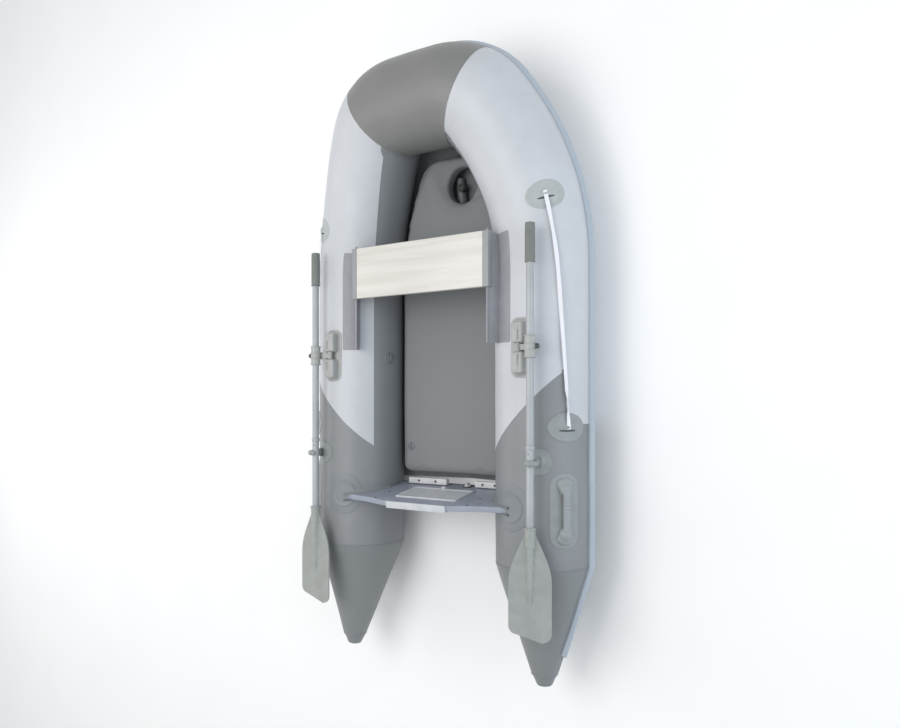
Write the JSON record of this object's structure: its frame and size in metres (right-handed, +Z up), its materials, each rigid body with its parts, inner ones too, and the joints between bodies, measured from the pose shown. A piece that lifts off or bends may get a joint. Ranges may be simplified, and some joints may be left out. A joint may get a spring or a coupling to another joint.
{
  "type": "inflatable dinghy",
  "caption": "Small inflatable boat with curved bow, stern cones, air floor, wooden transom, sliding seat and stowed oars in swivel rowlocks.",
  "frame": {"origin": "under the middle of the boat's length and beam, level with the lowest points of the tubes", "axes": "+X to the bow, +Y to port, +Z up"},
  "size_m": [2.5, 1.334, 0.5282],
  "materials": {
    "light_fabric": "satin",
    "dark_fabric": "satin",
    "floor_fabric": "matte",
    "strake_rubber": "satin",
    "grey_rubber": "matte",
    "grey_plastic": "satin",
    "dark_plastic": "matte",
    "pale_plastic": "satin",
    "transom_wood": "satin",
    "screw_steel": "satin",
    "oar_aluminium": "satin",
    "seat_board": "satin",
    "seat_track": "satin",
    "line_webbing": "matte"
  },
  "bodies": {
    "hull": {"air_floor": "floor_fabric", "bottom_skin": "dark_fabric", "bow_baffle": "dark_fabric", "bow_tube": "dark_fabric", "carry_handles": "grey_rubber", "cleat_screws": "screw_steel", "cone_caps": "grey_rubber", "drain_socket": "grey_plastic", "floor_cleats": "pale_plastic", "floor_valve": "grey_plastic", "keel_strip": "grey_rubber", "keel_tube": "dark_fabric", "keel_valve": "grey_plastic", "keeper_hooks": "grey_rubber", "lifeline_patches": "grey_rubber", "motor_plate_inner": "pale_plastic", "motor_plate_outer": "pale_plastic", "oar_keepers": "grey_rubber", "port_cone": "dark_fabric", "port_lifeline": "line_webbing", "port_rowlock_base": "grey_rubber", "port_rub_strake": "strake_rubber", "port_seat_rail": "grey_rubber", "port_tube_aft": "dark_fabric", "port_tube_fore": "light_fabric", "ring_saddle": "pale_plastic", "rowlock_pins": "screw_steel", "starboard_cone": "dark_fabric", "starboard_lifeline": "line_webbing", "starboard_rowlock_base": "grey_rubber", "starboard_rub_strake": "strake_rubber", "starboard_seat_rail": "grey_rubber", "starboard_tube_aft": "dark_fabric", "starboard_tube_fore": "light_fabric", "transom_board": "transom_wood", "transom_holders": "grey_rubber", "tube_valves": "grey_plastic"},
    "seat": {"seat_board": "seat_board", "seat_tracks": "seat_track"},
    "floor_valve_cap": {"floor_valve_cap": "grey_plastic"},
    "keel_valve_cap": {"keel_valve_cap": "grey_plastic"},
    "drain_plug": {"drain_plug": "grey_plastic"},
    "tow_ring": {"tow_ring": "pale_plastic"},
    "port_rowlock": {"port_rowlock_hub": "grey_plastic"},
    "port_oar": {"port_oar_sleeve": "grey_plastic", "port_oar_shaft": "oar_aluminium", "port_oar_grip": "dark_plastic", "port_oar_blade": "grey_plastic"},
    "port_clamp": {"port_clamp_knob": "dark_plastic"},
    "port_valve_cap": {"port_valve_cap": "grey_plastic"},
    "starboard_rowlock": {"starboard_rowlock_hub": "grey_plastic"},
    "starboard_oar": {"starboard_oar_sleeve": "grey_plastic", "starboard_oar_shaft": "oar_aluminium", "starboard_oar_grip": "dark_plastic", "starboard_oar_blade": "grey_plastic"},
    "starboard_clamp": {"starboard_clamp_knob": "dark_plastic"},
    "starboard_valve_cap": {"starboard_valve_cap": "grey_plastic"}
  },
  "joints": [
    {"name": "seat_slide", "type": "slide", "parent": "hull", "child": "seat", "axis": [1, 0, 0], "range_m": [-0.208, 0]},
    {"name": "port_oar_tilt", "type": "hinge", "parent": "hull", "child": "port_rowlock", "pos_m": [0.03, 0.46, 0.402], "axis": [1, 0, 0], "range_deg": [0, 60], "deforming": ["keeper_hooks"]},
    {"name": "port_oar_sweep", "type": "hinge", "parent": "port_rowlock", "child": "port_oar", "pos_m": [0.03, 0.52192, 0.42601], "axis": [0, -0.5, -0.866], "range_deg": [0, 105], "deforming": ["keeper_hooks"]},
    {"name": "port_clamp_turn", "type": "hinge", "parent": "port_oar", "child": "port_clamp", "pos_m": [0.03, 0.55, 0.42601], "axis": [0, 1, 0], "range_deg": [0, 360]},
    {"name": "port_valve_cap_turn", "type": "hinge", "parent": "hull", "child": "port_valve_cap", "pos_m": [0.0215, 0.26395, 0.22953], "axis": [0, -0.9803, 0.1977], "range_deg": [0, 90]},
    {"name": "starboard_oar_tilt", "type": "hinge", "parent": "hull", "child": "starboard_rowlock", "pos_m": [0.03, -0.46, 0.402], "axis": [-1, 0, 0], "range_deg": [0, 60], "deforming": ["keeper_hooks"]},
    {"name": "starboard_oar_sweep", "type": "hinge", "parent": "starboard_rowlock", "child": "starboard_oar", "pos_m": [0.03, -0.52192, 0.42601], "axis": [0, -0.5, 0.866], "range_deg": [0, 105], "deforming": ["keeper_hooks"]},
    {"name": "starboard_clamp_turn", "type": "hinge", "parent": "starboard_oar", "child": "starboard_clamp", "pos_m": [0.03, -0.55, 0.42601], "axis": [0, -1, 0], "range_deg": [0, 360]},
    {"name": "starboard_valve_cap_turn", "type": "hinge", "parent": "hull", "child": "starboard_valve_cap", "pos_m": [0.0215, -0.26395, 0.22953], "axis": [0, 0.9803, 0.1977], "range_deg": [0, 90]},
    {"name": "floor_valve_cap_turn", "type": "hinge", "parent": "hull", "child": "floor_valve_cap", "pos_m": [-0.362, 0.204, 0.16], "axis": [0, 0, 1], "range_deg": [0, 90]},
    {"name": "keel_valve_cap_turn", "type": "hinge", "parent": "hull", "child": "keel_valve_cap", "pos_m": [0.745, -0.0174, 0.12], "axis": [0, 0, 1], "range_deg": [0, 90]},
    {"name": "drain_plug_pull", "type": "slide", "parent": "hull", "child": "drain_plug", "axis": [0.9871, 0, 0.1599], "range_m": [0, 0.014]},
    {"name": "tow_ring_swing", "type": "hinge", "parent": "hull", "child": "tow_ring", "pos_m": [-0.52614, 0, 0.20857], "axis": [0, -1, 0], "range_deg": [0, 140]}
  ]
}
